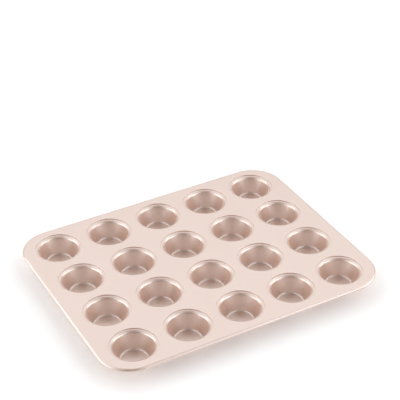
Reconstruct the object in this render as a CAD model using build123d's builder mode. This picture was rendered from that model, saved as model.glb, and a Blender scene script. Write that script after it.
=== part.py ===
from build123d import *
import math
import os

# Twenty-cup mini muffin tin. Twenty deep-drawn steel cups are crimped into a punched deck
# sheet, and the sheet's outer edge is rolled round a closed steel wire.
# Millimetres, +Z up. The origin is the middle of the plane that the cups stand on.
# X runs along the long side, with five cups, and Y along the short side, with four.

# Layout of the cups
cup_columns = 5
cup_rows = 4
cup_pitch = 61.0

# Overall size, over the rolled edge
tin_length = 323.0
tin_width = 254.0
tin_height = 20.6
corner_radius = 36.0

# Sheet thicknesses
cup_sheet = 0.6
deck_sheet = 0.7

# Cup, on its food side; the base and mouth radii are to the corners before rounding
base_radius = 15.5
base_round = 2.4
mouth_radius = 21.75
mouth_round = 3.5
flange_radius = 25.25

# Recess in the deck, which holds a cup's flange
step_depth = 1.0
lip_reach = 0.25
collar_depth = 4.8
recess_blank_radius = 27.2

# Rolled edge; the curl stops just short of the sheet that it comes back to
edge_strip = 6.0
bead_radius = 2.4
curl_turn = 300.0

# Heights above the plane that the cups stand on
floor_height = cup_sheet
deck_height = tin_height
flange_height = deck_height - step_depth
ledge_height = flange_height - cup_sheet
collar_end_height = ledge_height - collar_depth
wire_height = deck_height - bead_radius

# The cup wall's lean, and its thickness measured level
wall_lean = (mouth_radius - base_radius) / (flange_height - floor_height)
wall_level_thickness = cup_sheet * math.hypot(1.0, wall_lean)


def cup_outside_radius(height):
    """Radius of the cup wall's outer side at a height above the standing plane."""
    inside_radius = mouth_radius - wall_lean * (flange_height - height)
    return inside_radius + wall_level_thickness


def make_cup(name, x, y):
    """One drawn cup: a flat base, a tapered wall, a rounded mouth and a flat flange."""
    with BuildPart() as cup:
        with BuildSketch(Plane(origin=(x, y, 0), x_dir=(1, 0, 0), z_dir=(0, -1, 0))):
            with BuildLine():
                FilletPolyline(
                    (0, floor_height),
                    (base_radius, floor_height),
                    (mouth_radius, flange_height),
                    (flange_radius, flange_height),
                    radius=(base_round, mouth_round),
                )
                offset(amount=cup_sheet, side=Side.RIGHT)
            make_face()
        revolve(axis=Axis((x, y, 0), (0, 0, 1)))
    cup.part.label = name
    export_step(cup.part, f"parts/{name}.step")


os.makedirs("parts", exist_ok=True)

# Cups: row 1 is at the front and column 1 at the left
for row in range(cup_rows):
    for column in range(cup_columns):
        cup_x = (column - (cup_columns - 1) / 2) * cup_pitch
        cup_y = (row - (cup_rows - 1) / 2) * cup_pitch
        make_cup(f"cup_r{row + 1}c{column + 1}", cup_x, cup_y)

# The deck sheet round one cup. It steps down to a ledge under the flange, then turns down
# as a collar against the cup's wall. The lip at the top is crimped in over the flange.
lip_radius = flange_radius - lip_reach
lip_bend_height = deck_height - lip_reach
with BuildPart() as recess:
    with BuildSketch(Plane.XZ):
        with BuildLine():
            Polyline(
                (recess_blank_radius, deck_height),
                (flange_radius, deck_height),
                (flange_radius, ledge_height),
            )
            FilletPolyline(
                (flange_radius, ledge_height),
                (cup_outside_radius(ledge_height), ledge_height),
                (cup_outside_radius(collar_end_height), collar_end_height),
                radius=mouth_round - cup_sheet,
            )
            offset(amount=deck_sheet, side=Side.LEFT)
        make_face()
        with BuildLine():
            CenterArc((flange_radius, lip_bend_height), lip_reach, 90, 90)
            Polyline(
                (lip_radius, lip_bend_height),
                (lip_radius, flange_height),
                (flange_radius, flange_height),
                (flange_radius, deck_height),
            )
        make_face()
    revolve(axis=Axis.Z)

# Path of the rolled edge: the middle of the wire
with BuildSketch(Plane.XY.offset(wire_height)) as wire_outline:
    RectangleRounded(
        tin_length - 2 * bead_radius,
        tin_width - 2 * bead_radius,
        corner_radius - bead_radius,
    )
wire_path = wire_outline.sketch.wire()

# Section plane of the rolled edge, with its origin in the middle of the wire, X pointing
# straight outwards and Y pointing up
path_direction = wire_path % 0
edge_plane = Plane(
    origin=wire_path @ 0,
    x_dir=path_direction.cross(Vector(0, 0, 1)),
    z_dir=-path_direction,
)

wire_radius = bead_radius - deck_sheet
strip_inner = bead_radius - edge_strip

# Deck: a flat sheet with rounded corners, a recess for each cup, and the rolled edge
with BuildPart() as deck_frame:
    with BuildSketch(Plane.XY.offset(deck_height)):
        RectangleRounded(
            tin_length - 2 * edge_strip,
            tin_width - 2 * edge_strip,
            corner_radius - edge_strip,
        )
        with GridLocations(cup_pitch, cup_pitch, cup_columns, cup_rows):
            Circle(recess_blank_radius, mode=Mode.SUBTRACT)
    extrude(amount=-deck_sheet)
    with GridLocations(cup_pitch, cup_pitch, cup_columns, cup_rows):
        add(recess.part)
    with BuildSketch(edge_plane):
        with BuildLine():
            Line((strip_inner, bead_radius), (0, bead_radius))
            curl_outside = CenterArc((0, 0), bead_radius, 90, -curl_turn)
            curl_inside = CenterArc((0, 0), wire_radius, 90 - curl_turn, curl_turn)
            Line(curl_outside @ 1, curl_inside @ 0)
            Polyline((0, wire_radius), (strip_inner, wire_radius), (strip_inner, bead_radius))
        make_face()
    sweep(path=wire_path)
deck_frame.part.label = "deck_frame"
export_step(deck_frame.part, "parts/deck_frame.step")

# Wire: a closed ring of round steel wire that fills the rolled edge
with BuildPart() as rim_wire:
    with BuildSketch(edge_plane):
        Circle(wire_radius)
    sweep(path=wire_path)
rim_wire.part.label = "rim_wire"
export_step(rim_wire.part, "parts/rim_wire.step")
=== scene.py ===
import math

import bmesh
import bpy
from mathutils import Matrix, Vector


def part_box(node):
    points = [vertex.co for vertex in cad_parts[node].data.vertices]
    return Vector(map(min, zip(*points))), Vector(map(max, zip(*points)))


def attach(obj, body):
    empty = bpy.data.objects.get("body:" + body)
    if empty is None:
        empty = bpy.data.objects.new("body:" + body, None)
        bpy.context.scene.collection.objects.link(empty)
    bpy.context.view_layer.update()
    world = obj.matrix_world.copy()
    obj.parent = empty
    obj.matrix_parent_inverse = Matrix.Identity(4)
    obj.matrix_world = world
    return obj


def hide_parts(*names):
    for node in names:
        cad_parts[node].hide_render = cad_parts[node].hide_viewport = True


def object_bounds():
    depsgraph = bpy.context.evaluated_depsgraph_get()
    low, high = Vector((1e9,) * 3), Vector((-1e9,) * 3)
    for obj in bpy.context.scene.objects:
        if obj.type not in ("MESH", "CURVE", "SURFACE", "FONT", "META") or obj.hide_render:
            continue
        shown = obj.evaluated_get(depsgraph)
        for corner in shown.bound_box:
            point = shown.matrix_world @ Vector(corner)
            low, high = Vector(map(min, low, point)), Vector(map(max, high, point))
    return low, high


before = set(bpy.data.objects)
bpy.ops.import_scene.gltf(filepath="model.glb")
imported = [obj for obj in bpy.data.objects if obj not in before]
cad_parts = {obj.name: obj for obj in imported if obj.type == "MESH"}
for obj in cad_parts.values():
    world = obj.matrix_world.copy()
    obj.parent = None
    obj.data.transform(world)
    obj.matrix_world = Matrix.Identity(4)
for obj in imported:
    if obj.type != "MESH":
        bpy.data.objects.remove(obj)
cad_low, cad_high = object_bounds()


# Cups. Twenty separate cups, each drawn from a round blank of thin steel, coated, and left
# with a narrow flat flange that the deck is crimped over. A cup is one closed skin: its food
# side and its outer side are drawn as one section, which is turned about the cup's axis.
millimetre = 0.001
columns = 5
rows = 4
cup_sheet = 0.6 * millimetre
cup_base_radius = 15.5 * millimetre
cup_base_round = 2.4 * millimetre
cup_mouth_radius = 21.75 * millimetre
cup_mouth_round = 3.5 * millimetre
cup_pitch = 61.0 * millimetre
cup_turns = 96
support = 0.35 * millimetre
sharp_angle = math.radians(40)

first_low, first_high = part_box("cup_r1c1")
flange_radius = (first_high.x - first_low.x) / 2
flange_height = first_high.z
cup_floor = first_low.z + cup_sheet
ledge_height = flange_height - cup_sheet
cup_lean = math.atan2(cup_mouth_radius - cup_base_radius, flange_height - cup_floor)
round_setback = math.tan((math.pi / 2 - cup_lean) / 2)
arc_degrees = 90 - math.degrees(cup_lean)


def draw_line(shape, tip, x, z, stops=()):
    """Carries a section's tip straight to (x, z), with extra points at stops metres from
    each end, which keep the shading of a long flat run true."""
    start = tip.co.copy()
    end = Vector((x, start.y, z))
    along = (end - start).normalized()
    places = [start + along * stop for stop in stops]
    places += [end - along * stop for stop in reversed(stops)]
    for place in places + [end]:
        tip = bmesh.ops.extrude_vert_indiv(shape, verts=[tip])["verts"][0]
        tip.co = place
    return tip


def draw_arc(shape, tip, centre_x, centre_z, degrees, steps):
    """Carries a section's tip round a centre; positive turns from +Z towards +X."""
    turned = bmesh.ops.spin(
        shape,
        geom=[tip],
        cent=(centre_x, tip.co.y, centre_z),
        axis=(0, 1, 0),
        angle=math.radians(degrees),
        steps=steps,
    )
    return turned["geom_last"][0]


def draw_cup_section(shape):
    """Half of a cup's section, from the axis along the food side and back below."""
    base_centre_x = cup_base_radius - cup_base_round * round_setback
    base_centre_z = cup_floor + cup_base_round
    mouth_centre_x = cup_mouth_radius + cup_mouth_round * round_setback
    mouth_centre_z = flange_height - cup_mouth_round
    wall_x = math.cos(cup_lean)
    wall_z = math.sin(cup_lean)
    tip = shape.verts.new((0, 0, cup_floor))
    tip = draw_line(shape, tip, base_centre_x, cup_floor, [support])
    tip = draw_arc(shape, tip, base_centre_x, base_centre_z, -arc_degrees, 10)
    tip = draw_line(
        shape,
        tip,
        mouth_centre_x - cup_mouth_round * wall_x,
        mouth_centre_z + cup_mouth_round * wall_z,
        [support],
    )
    tip = draw_arc(shape, tip, mouth_centre_x, mouth_centre_z, arc_degrees, 12)
    tip = draw_line(shape, tip, flange_radius, flange_height)
    tip = draw_line(shape, tip, flange_radius, ledge_height)
    tip = draw_line(shape, tip, mouth_centre_x, ledge_height)
    tip = draw_arc(shape, tip, mouth_centre_x, mouth_centre_z, -arc_degrees, 8)
    outer_base_round = cup_base_round + cup_sheet
    tip = draw_line(
        shape,
        tip,
        base_centre_x + outer_base_round * wall_x,
        base_centre_z - outer_base_round * wall_z,
        [support],
    )
    tip = draw_arc(shape, tip, base_centre_x, base_centre_z, arc_degrees, 10)
    draw_line(shape, tip, 0, first_low.z, [support])


def close_and_finish(shape, name):
    """Welds a shape, turns its faces outwards and hands it over as a mesh."""
    bmesh.ops.remove_doubles(shape, verts=shape.verts, dist=1e-6)
    bmesh.ops.recalc_face_normals(shape, faces=shape.faces)
    mesh = bpy.data.meshes.new(name)
    shape.to_mesh(mesh)
    shape.free()
    mesh.shade_smooth()
    mesh.set_sharp_from_angle(angle=sharp_angle)
    return mesh


def add_piece(name, mesh, node, finish):
    """Puts a finished mesh in the scene in place of its CAD node."""
    piece = bpy.data.objects.new(name, mesh)
    bpy.context.scene.collection.objects.link(piece)
    mesh.materials.append(finish)
    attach(piece, "root")
    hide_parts(node)
    return piece


class Signal:
    """One output of a finish's nodes. Arithmetic on signals adds the Math nodes for it."""

    def __init__(self, finish, socket):
        self.finish = finish
        self.socket = socket

    def maths(self, operation, *values):
        return self.finish.node("ShaderNodeMath", {"operation": operation}, dict(enumerate(values)))

    def wrapped(self, high, low):
        return self.maths("WRAP", self, high, low)

    def held(self, low, high):
        return self.maths("MINIMUM", self.maths("MAXIMUM", self, low), high)

    def __add__(self, other):
        return self.maths("ADD", self, other)

    def __sub__(self, other):
        return self.maths("SUBTRACT", self, other)

    def __mul__(self, other):
        return self.maths("MULTIPLY", self, other)

    def __truediv__(self, other):
        return self.maths("DIVIDE", self, other)

    def __pow__(self, other):
        return self.maths("POWER", self, other)

    def __radd__(self, other):
        return self.maths("ADD", other, self)

    def __rsub__(self, other):
        return self.maths("SUBTRACT", other, self)

    def __rmul__(self, other):
        return self.maths("MULTIPLY", other, self)


class Finish:
    """A finish being mixed: its material, one method that adds any node to it, and the few
    groups of nodes that the finishes share."""

    def __init__(self, name):
        self.material = bpy.data.materials.new(name)
        self.material.use_nodes = True
        self.tree = self.material.node_tree
        self.tree.nodes.clear()

    def node(self, kind, settings, inputs, output=0):
        made = self.tree.nodes.new(kind)
        for setting, value in settings.items():
            setattr(made, setting, value)
        for key, value in inputs.items():
            if isinstance(value, Signal):
                self.tree.links.new(value.socket, made.inputs[key])
            else:
                made.inputs[key].default_value = value
        return None if output is None else Signal(self, made.outputs[output])

    def part(self, vector, axis):
        """The X, Y or Z of a vector."""
        return self.node("ShaderNodeSeparateXYZ", {}, {0: vector}, "XYZ".index(axis))

    def noise(self, vector, scale, detail):
        """Soft noise of about 0 to 1, with scale in grains a metre."""
        return self.node(
            "ShaderNodeTexNoise", {}, {"Vector": vector, "Scale": scale, "Detail": detail}
        )

    def blended(self, share, low, high):
        """A colour that runs from low to high with share."""
        return self.node(
            "ShaderNodeMix", {"data_type": "RGBA"}, {0: share, 6: (*low, 1), 7: (*high, 1)}, 2
        )

    def bump(self, relief, distance, strength):
        """A normal that follows relief, which distance turns into metres."""
        return self.node(
            "ShaderNodeBump",
            {},
            {"Height": relief, "Distance": distance, "Strength": strength},
        )

    def layer(self, colour, metallic, roughness, bump):
        """One layer of a finish."""
        return self.node(
            "ShaderNodeBsdfPrincipled",
            {},
            {"Base Color": colour, "Metallic": metallic, "Roughness": roughness, "Normal": bump},
        )

    def done(self, shader):
        """Puts a shader on the material, which is then ready."""
        self.node("ShaderNodeOutputMaterial", {}, {"Surface": shader}, None)
        return self.material


def champagne_coating(name, marks):
    """Champagne non-stick coating, baked on steel: bright pearl flake over a warm brown pigment,
    with slight orange peel and soft clouding. Marks, if any, give the height of the tooling
    marks that show through it."""
    finish = Finish(name)
    place = finish.node("ShaderNodeTexCoord", {}, {}, "Object")
    flake = finish.noise(place, flake_grains, 1.0)
    peel = finish.noise(place, peel_grains, 2.0)
    cloud = finish.noise(place, cloud_grains, 3.0)
    pressed = marks(finish, place) if marks else peel
    relief = flake * 0.05 + peel * 0.25 + pressed * 0.2
    bump = finish.bump(relief, coating_relief, coating_bump)
    tone = 0.5 + (cloud - 0.5) * 0.8 + (flake - 0.5) * 0.2 + (pressed - 0.5) * 0.3
    roughness = (cloud - 0.5) * 0.04 + (pressed - 0.5) * 0.015
    pearl = finish.layer(
        finish.blended(tone, pearl_dark, pearl_light), 1.0, pearl_roughness + roughness, bump
    )
    pigment = finish.layer(
        finish.blended(tone, pigment_dark, pigment_light), 0.0, pigment_roughness + roughness, bump
    )
    mixed = finish.node("ShaderNodeMixShader", {}, {0: pigment_share, 1: pearl, 2: pigment})
    return finish.done(mixed)


def draw_marks(finish, place):
    """Marks of drawing a cup: fine upright streaks on its wall and turned rings on its base."""
    x = finish.part(place, "X").wrapped(cup_pitch / 2, -cup_pitch / 2)
    y = finish.part(place, "Y").wrapped(cup_pitch, 0.0) - cup_pitch / 2
    above_floor = finish.part(place, "Z") - cup_floor
    out = (x * x + y * y) ** 0.5
    around = finish.node(
        "ShaderNodeCombineXYZ", {}, {0: x / out, 1: y / out, 2: above_floor * streak_squash}
    )
    across = finish.node("ShaderNodeCombineXYZ", {}, {0: out, 1: 0.0, 2: 0.0})
    streaks = finish.noise(around, streaks_a_radian, 3.0)
    rings = finish.noise(across, rings_a_metre, 1.0)
    on_wall = (above_floor / cup_base_round).held(0.0, 1.0)
    return streaks * on_wall + rings * (1 - on_wall)


flake_grains = 2600.0
peel_grains = 420.0
cloud_grains = 18.0
coating_relief = 0.2 * millimetre
coating_bump = 0.06
streak_squash = 2.5
streaks_a_radian = 26.0
rings_a_metre = 1500.0
pearl_dark = (0.945, 0.910, 0.885)
pearl_light = (1.0, 0.980, 0.965)
pearl_roughness = 0.31
pigment_dark = (0.585, 0.375, 0.290)
pigment_light = (0.655, 0.425, 0.330)
pigment_roughness = 0.50
pigment_share = 0.6
cup_finish = champagne_coating("champagne_coating_on_cups", draw_marks)

cup_shape = bmesh.new()
draw_cup_section(cup_shape)
bmesh.ops.spin(
    cup_shape,
    geom=cup_shape.verts[:] + cup_shape.edges[:],
    cent=(0, 0, 0),
    axis=(0, 0, 1),
    angle=math.tau,
    steps=cup_turns,
    use_merge=True,
)
cup_mesh = close_and_finish(cup_shape, "drawn_cup")
cup_middles = []
for row in range(1, rows + 1):
    for column in range(1, columns + 1):
        cup_name = f"cup_r{row}c{column}"
        low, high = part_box(cup_name)
        middle = Vector(((low.x + high.x) / 2, (low.y + high.y) / 2, 0))
        cup_middles.append(middle)
        mesh = cup_mesh.copy()
        mesh.transform(Matrix.Translation(middle))
        add_piece(f"drawn_{cup_name}", mesh, cup_name, cup_finish)
bpy.data.meshes.remove(cup_mesh)


# Deck. One punched steel sheet. Each hole is pressed down into a ledge for the cup's flange
# and a collar round its wall, with a lip crimped over the flange. The sheet's outer edge
# is rolled over and round the wire.
deck_sheet = 0.7 * millimetre
deck_low, deck_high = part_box("deck_frame")
deck_top = deck_high.z
deck_underside = deck_top - deck_sheet
collar_end = deck_low.z
lip_reach = 0.25 * millimetre
flat_ring_radius = 26.7 * millimetre
hole_turns = 72


def draw_hole_section(shape, middle):
    """Half of the section round one hole, from the flat deck in and back out below."""
    axis_x = middle.x
    rim = axis_x + flange_radius
    lip = rim - lip_reach
    mouth_x = axis_x + cup_mouth_radius + cup_mouth_round * round_setback
    mouth_z = flange_height - cup_mouth_round
    ledge_round = cup_mouth_round - cup_sheet
    under_round = ledge_round - deck_sheet
    wall_x = math.cos(cup_lean)
    wall_z = math.sin(cup_lean)
    drop = (mouth_z + ledge_round * wall_z - collar_end) / math.cos(cup_lean)
    tip = shape.verts.new((axis_x + flat_ring_radius, middle.y, deck_top))
    tip = draw_line(shape, tip, rim, deck_top, [support])
    tip = draw_arc(shape, tip, rim, deck_top - lip_reach, -90, 3)
    tip = draw_line(shape, tip, lip, flange_height)
    tip = draw_line(shape, tip, rim, flange_height)
    tip = draw_line(shape, tip, rim, ledge_height)
    tip = draw_line(shape, tip, mouth_x, ledge_height)
    tip = draw_arc(shape, tip, mouth_x, mouth_z, -arc_degrees, 4)
    collar = tip.co + Vector((-wall_z, 0, -wall_x)) * drop
    tip = draw_line(shape, tip, collar.x, collar.z)
    tip = draw_line(shape, tip, collar.x + deck_sheet * wall_x, collar.z - deck_sheet * wall_z)
    tip = draw_line(
        shape, tip, mouth_x - under_round * wall_x, mouth_z + under_round * wall_z
    )
    tip = draw_arc(shape, tip, mouth_x, mouth_z, arc_degrees, 3)
    under_ledge = ledge_height - deck_sheet
    tip = draw_line(shape, tip, rim, under_ledge)
    tip = draw_arc(shape, tip, rim, ledge_height, -90, 4)
    tip = draw_line(shape, tip, rim + deck_sheet, deck_underside)
    draw_line(shape, tip, axis_x + flat_ring_radius, deck_underside, [support])


deck_shape = bmesh.new()
for middle in cup_middles:
    ready = set(deck_shape.verts)
    ready_edges = set(deck_shape.edges)
    draw_hole_section(deck_shape, middle)
    section = [v for v in deck_shape.verts if v not in ready]
    section += [e for e in deck_shape.edges if e not in ready_edges]
    bmesh.ops.spin(
        deck_shape,
        geom=section,
        cent=middle,
        axis=(0, 0, 1),
        angle=math.tau,
        steps=hole_turns,
        use_merge=True,
    )

# Rolled edge, drawn at the front end of the right-hand side and carried round the deck
corner_radius = 36.0 * millimetre
bead_radius = 2.4 * millimetre
edge_strip = 6.0 * millimetre
curl_turn = 300
corner_steps = 28
wire_x = deck_high.x - bead_radius
wire_z = deck_top - bead_radius
ready = set(deck_shape.edges)
tip = deck_shape.verts.new((deck_high.x - edge_strip, deck_low.y + corner_radius, deck_top))
tip = draw_line(deck_shape, tip, wire_x, deck_top, [support])
tip = draw_arc(deck_shape, tip, wire_x, wire_z, curl_turn, 30)
inward = (Vector((wire_x, tip.co.y, wire_z)) - tip.co).normalized() * deck_sheet
tip = draw_line(deck_shape, tip, tip.co.x + inward.x, tip.co.z + inward.z)
tip = draw_arc(deck_shape, tip, wire_x, wire_z, -curl_turn, 24)
draw_line(deck_shape, tip, deck_high.x - edge_strip, deck_underside, [support])
section = [e for e in deck_shape.edges if e not in ready]
for quarter in range(4):
    outward = Matrix.Rotation(quarter * math.pi / 2, 3, "Z")
    length = (deck_high - deck_low).y if quarter % 2 == 0 else (deck_high - deck_low).x
    run = bmesh.ops.extrude_edge_only(deck_shape, edges=section)
    moved = [g for g in run["geom"] if isinstance(g, bmesh.types.BMVert)]
    section = [g for g in run["geom"] if isinstance(g, bmesh.types.BMEdge)]
    bmesh.ops.translate(
        deck_shape, verts=moved, vec=outward @ Vector((0, length - 2 * corner_radius, 0))
    )
    corner = outward @ Vector((1, 1, 0))
    corner_x = corner.x * (deck_high.x - corner_radius)
    corner_y = corner.y * (deck_high.y - corner_radius)
    turned = bmesh.ops.spin(
        deck_shape,
        geom=section,
        cent=(corner_x, corner_y, 0),
        axis=(0, 0, 1),
        angle=math.pi / 2,
        steps=corner_steps,
    )
    section = [g for g in turned["geom_last"] if isinstance(g, bmesh.types.BMEdge)]
bmesh.ops.remove_doubles(deck_shape, verts=deck_shape.verts, dist=1e-6)
for level in (deck_top, deck_underside):
    open_edges = [
        e for e in deck_shape.edges
        if e.is_boundary and abs(e.verts[0].co.z - level) < 1e-6
    ]
    bmesh.ops.triangle_fill(deck_shape, use_beauty=True, edges=open_edges, normal=(0, 0, 1))
deck_mesh = close_and_finish(deck_shape, "punched_deck")
deck_finish = champagne_coating("champagne_coating_on_deck", None)
add_piece("punched_deck", deck_mesh, "deck_frame", deck_finish)


# Wire. A closed ring of bare drawn steel wire, which the deck's edge is rolled round. It is
# plain round wire bent to the tin's outline, so the solid itself shows and takes the finish.
steel_dark = (0.50, 0.49, 0.47)
steel_light = (0.60, 0.59, 0.57)
steel_grains = 900.0
steel_relief = 0.1 * millimetre
wire_steel = Finish("drawn_steel_wire")
place = wire_steel.node("ShaderNodeTexCoord", {}, {}, "Object")
grain = wire_steel.noise(place, steel_grains, 3.0)
wire_colour = wire_steel.blended(grain, steel_dark, steel_light)
wire_bump = wire_steel.bump(grain, steel_relief, 0.1)
wire_finish = wire_steel.done(wire_steel.layer(wire_colour, 1.0, 0.35 + grain * 0.2, wire_bump))
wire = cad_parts["rim_wire"]
wire.data.materials.clear()
wire.data.materials.append(wire_finish)


# Studio. A wide pale floor, a dim room and softboxes: one behind the tin, and at each side a
# bright low strip with a larger box over it and a narrow one towards the front.
floor_glow = 0.2
floor_half_width = 6.0
paper_dark = (0.88, 0.88, 0.88)
paper_light = (0.92, 0.92, 0.92)
room_glow = 0.15
floor_mesh = bpy.data.meshes.new("floor")
floor_shape = bmesh.new()
bmesh.ops.create_grid(floor_shape, x_segments=1, y_segments=1, size=floor_half_width)
floor_shape.to_mesh(floor_mesh)
floor_shape.free()
floor = bpy.data.objects.new("floor", floor_mesh)
bpy.context.scene.collection.objects.link(floor)
floor.location.z = cad_low.z
floor_paint = Finish("floor_paint")
paper = floor_paint.noise(floor_paint.node("ShaderNodeTexCoord", {}, {}, "Object"), 60.0, 2.0)
floor_shader = floor_paint.node(
    "ShaderNodeBsdfPrincipled",
    {},
    {
        "Base Color": floor_paint.blended(paper, paper_dark, paper_light),
        "Roughness": 0.85 + paper * 0.1,
        "Emission Color": (1, 1, 1, 1),
        "Emission Strength": floor_glow,
    },
)
floor_mesh.materials.append(floor_paint.done(floor_shader))

world = bpy.data.worlds.new("studio")
world.use_nodes = True
world.node_tree.nodes["Background"].inputs["Color"].default_value = (1, 1, 1, 1)
world.node_tree.nodes["Background"].inputs["Strength"].default_value = room_glow
bpy.context.scene.world = world
bpy.context.scene.view_settings.view_transform = "Standard"


def towards(bearing, height):
    """Direction from the tin at a bearing from the camera, positive to the right, and a
    height over the floor, both in degrees."""
    level = math.radians(bearing) + camera_azimuth
    rise = math.radians(height)
    return Vector((
        math.sin(level) * math.cos(rise),
        -math.cos(level) * math.cos(rise),
        math.sin(rise),
    ))


def hang_softbox(name, bearing, bottom, top, spread, brightness):
    """A softbox that faces the tin, from bottom to top degrees up and spread degrees wide."""
    light = bpy.data.lights.new(name, "AREA")
    light.shape = "RECTANGLE"
    light.size = 2 * softbox_distance * math.tan(math.radians(spread / 2))
    light.size_y = 2 * softbox_distance * math.tan(math.radians((top - bottom) / 2))
    light.energy = brightness * math.pi * light.size * light.size_y
    softbox = bpy.data.objects.new(name, light)
    place = towards(bearing, (bottom + top) / 2)
    softbox.location = place * softbox_distance
    softbox.rotation_euler = place.to_track_quat("Z", "Y").to_euler()
    softbox.visible_camera = False
    bpy.context.scene.collection.objects.link(softbox)


softbox_distance = 3.0
camera_azimuth = math.radians(-28.95)
hang_softbox("back_softbox", 180, 24, 70, 96, 1.12)
for side, bearing in (("left", -1), ("right", 1)):
    hang_softbox(f"{side}_low_strip", bearing * 85, 4, 24, 64, 3.5)
    hang_softbox(f"{side}_softbox", bearing * 85, 24, 72, 64, 1.0)
    hang_softbox(f"{side}_front_softbox", bearing * 45, 8, 50, 20, 0.6)

camera_elevation = 34.38
camera_roll = math.radians(-0.29)
camera_distance = 1.3206
camera_lens = 110.46
aim_right = 0.00306
aim_up = 0.06314
back = towards(0, camera_elevation)
level_right = Vector((math.cos(camera_azimuth), math.sin(camera_azimuth), 0))
level_up = back.cross(level_right)
right = level_right * math.cos(camera_roll) + level_up * math.sin(camera_roll)
up = back.cross(right)
deck_middle = Vector((0, 0, deck_top))
camera_data = bpy.data.cameras.new("camera")
camera_data.lens = camera_lens
camera_data.sensor_width = 36.0
camera = bpy.data.objects.new("camera", camera_data)
turn = Matrix((right, up, back)).transposed().to_4x4()
camera.matrix_world = Matrix.Translation(
    deck_middle + right * aim_right + up * aim_up + back * camera_distance
) @ turn
bpy.context.scene.collection.objects.link(camera)
bpy.context.scene.camera = camera
